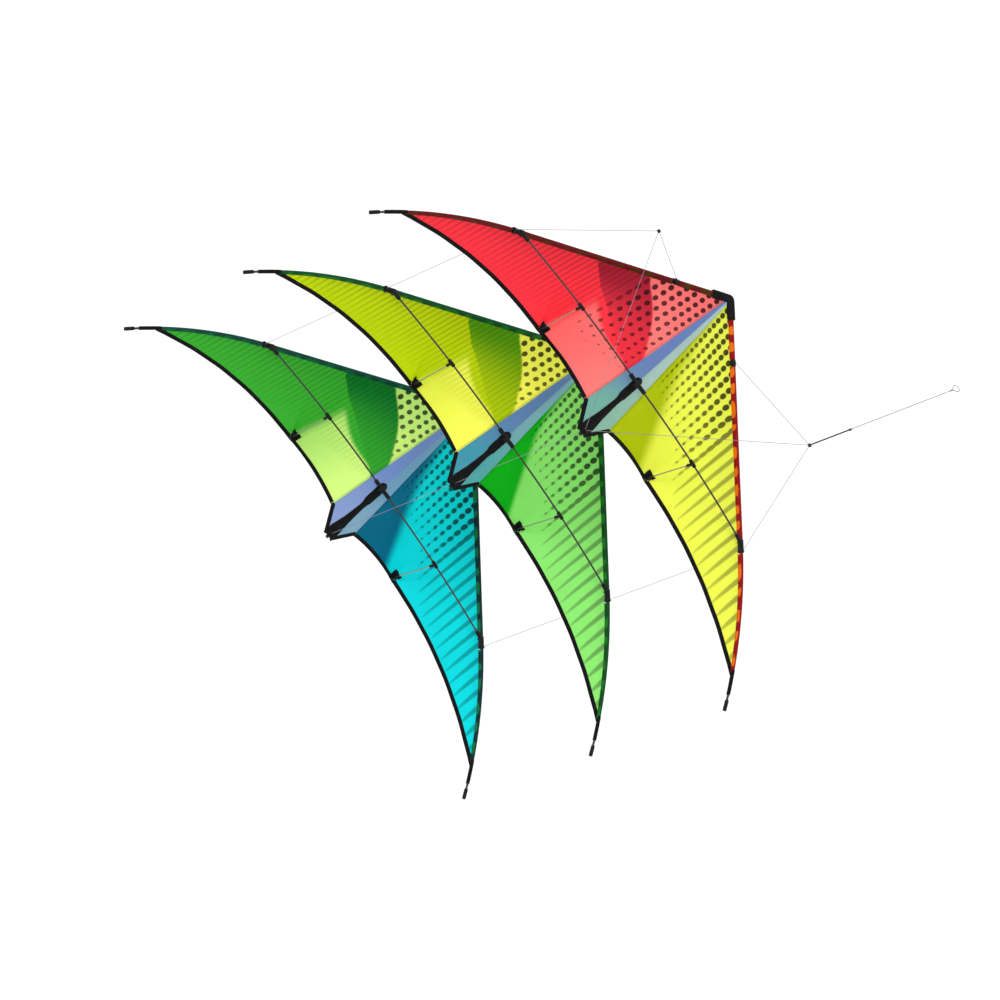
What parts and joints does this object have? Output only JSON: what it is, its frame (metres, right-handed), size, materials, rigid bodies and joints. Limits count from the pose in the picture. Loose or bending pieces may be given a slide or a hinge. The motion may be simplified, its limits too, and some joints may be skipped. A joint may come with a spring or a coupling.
{
  "type": "stunt kite train",
  "caption": "Train of small swept delta kites joined by taut train lines, with a three-leg bridle on the front kite and a stub of flying line.",
  "frame": {"origin": "midway between the two tow points of the front kite's bridle, where the flying lines take hold", "axes": "+Z along the flying lines towards the flier, +X along the span to the right wing as the flier sees it, +Y the way the noses point"},
  "size_m": [1.0096, 0.4998, 1.5689],
  "materials": {
    "front_sail_left": "satin",
    "front_sail_right": "satin",
    "front_edge_sleeve_left": "satin",
    "front_edge_sleeve_right": "satin",
    "middle_sail_left": "satin",
    "middle_sail_right": "satin",
    "middle_edge_sleeve_left": "satin",
    "middle_edge_sleeve_right": "satin",
    "rear_sail_left": "satin",
    "rear_sail_right": "satin",
    "rear_edge_sleeve_left": "satin",
    "rear_edge_sleeve_right": "satin",
    "panel_cloth": "satin",
    "black_webbing": "matte",
    "black_rod": "satin",
    "pale_rod": "satin",
    "moulded_black": "matte",
    "bridle_line": "matte",
    "train_line": "matte",
    "pigtail_cord": "matte",
    "flying_line": "matte"
  },
  "bodies": {
    "flier_lines": {"tow_knots": "pigtail_cord", "pigtail": "pigtail_cord", "flying_line": "flying_line", "line_loop": "flying_line"},
    "front_kite": {"front_sail_left": "front_sail_left", "front_sail_right": "front_sail_right", "front_centre_panel": "panel_cloth", "front_nose_cap": "black_webbing", "front_spine": "black_rod", "front_edge_spars": "black_rod", "front_edge_sleeve_left": "front_edge_sleeve_left", "front_edge_sleeve_right": "front_edge_sleeve_right", "front_spreader_left": "black_rod", "front_spreader_right": "black_rod", "front_centre_tee": "moulded_black", "front_edge_connectors": "moulded_black", "front_upper_stoppers": "moulded_black", "front_standoffs": "pale_rod", "front_standoff_fittings": "moulded_black", "front_end_caps": "moulded_black", "bridle_left": "bridle_line", "bridle_right": "bridle_line"},
    "middle_kite": {"middle_sail_left": "middle_sail_left", "middle_sail_right": "middle_sail_right", "middle_centre_panel": "panel_cloth", "middle_nose_cap": "black_webbing", "middle_spine": "black_rod", "middle_edge_spars": "black_rod", "middle_edge_sleeve_left": "middle_edge_sleeve_left", "middle_edge_sleeve_right": "middle_edge_sleeve_right", "middle_spreader_left": "black_rod", "middle_spreader_right": "black_rod", "middle_centre_tee": "moulded_black", "middle_edge_connectors": "moulded_black", "middle_upper_stoppers": "moulded_black", "middle_standoffs": "pale_rod", "middle_standoff_fittings": "moulded_black", "middle_end_caps": "moulded_black"},
    "rear_kite": {"rear_sail_left": "rear_sail_left", "rear_sail_right": "rear_sail_right", "rear_centre_panel": "panel_cloth", "rear_nose_cap": "black_webbing", "rear_spine": "black_rod", "rear_edge_spars": "black_rod", "rear_edge_sleeve_left": "rear_edge_sleeve_left", "rear_edge_sleeve_right": "rear_edge_sleeve_right", "rear_spreader_left": "black_rod", "rear_spreader_right": "black_rod", "rear_centre_tee": "moulded_black", "rear_edge_connectors": "moulded_black", "rear_upper_stoppers": "moulded_black", "rear_standoffs": "pale_rod", "rear_standoff_fittings": "moulded_black", "rear_end_caps": "moulded_black"},
    "first_lower_lines": {"first_train_lower": "train_line"},
    "first_upper_lines": {"first_train_upper": "train_line"},
    "first_tail_lines": {"first_train_tail": "train_line"},
    "second_lower_lines": {"second_train_lower": "train_line"},
    "second_upper_lines": {"second_train_upper": "train_line"},
    "second_tail_lines": {"second_train_tail": "train_line"}
  },
  "joints": [
    {"name": "tow_pitch", "type": "hinge", "parent": "flier_lines", "child": "front_kite", "pos_m": [0, 0, 0], "axis": [1, 0, 0], "range_deg": [-15, 15]},
    {"name": "first_gap_swing", "type": "hinge", "parent": "front_kite", "child": "first_lower_lines", "pos_m": [0, -0.04966, -0.255], "axis": [1, 0, 0], "range_deg": [-15, 15]},
    {"name": "middle_kite_level", "type": "hinge", "parent": "first_lower_lines", "child": "middle_kite", "pos_m": [0, -0.04966, -0.652], "axis": [1, 0, 0], "range_deg": [-15, 15]},
    {"name": "first_upper_swing", "type": "hinge", "parent": "front_kite", "child": "first_upper_lines", "pos_m": [0, 0.15841, -0.255], "axis": [1, 0, 0], "range_deg": [-15, 15]},
    {"name": "first_tail_swing", "type": "hinge", "parent": "front_kite", "child": "first_tail_lines", "pos_m": [0, -0.1644, -0.255], "axis": [1, 0, 0], "range_deg": [-15, 15]},
    {"name": "second_gap_swing", "type": "hinge", "parent": "middle_kite", "child": "second_lower_lines", "pos_m": [0, -0.04966, -0.652], "axis": [1, 0, 0], "range_deg": [-15, 15]},
    {"name": "rear_kite_level", "type": "hinge", "parent": "second_lower_lines", "child": "rear_kite", "pos_m": [0, -0.04966, -1.049], "axis": [1, 0, 0], "range_deg": [-15, 15]},
    {"name": "second_upper_swing", "type": "hinge", "parent": "middle_kite", "child": "second_upper_lines", "pos_m": [0, 0.15841, -0.652], "axis": [1, 0, 0], "range_deg": [-15, 15]},
    {"name": "second_tail_swing", "type": "hinge", "parent": "middle_kite", "child": "second_tail_lines", "pos_m": [0, -0.1644, -0.652], "axis": [1, 0, 0], "range_deg": [-15, 15]}
  ],
  "couplings": [
    {"joint": "middle_kite_level", "follows": "first_gap_swing", "ratio": -1},
    {"joint": "first_upper_swing", "follows": "first_gap_swing", "ratio": 1},
    {"joint": "first_tail_swing", "follows": "first_gap_swing", "ratio": 1},
    {"joint": "rear_kite_level", "follows": "second_gap_swing", "ratio": -1},
    {"joint": "second_upper_swing", "follows": "second_gap_swing", "ratio": 1},
    {"joint": "second_tail_swing", "follows": "second_gap_swing", "ratio": 1}
  ]
}
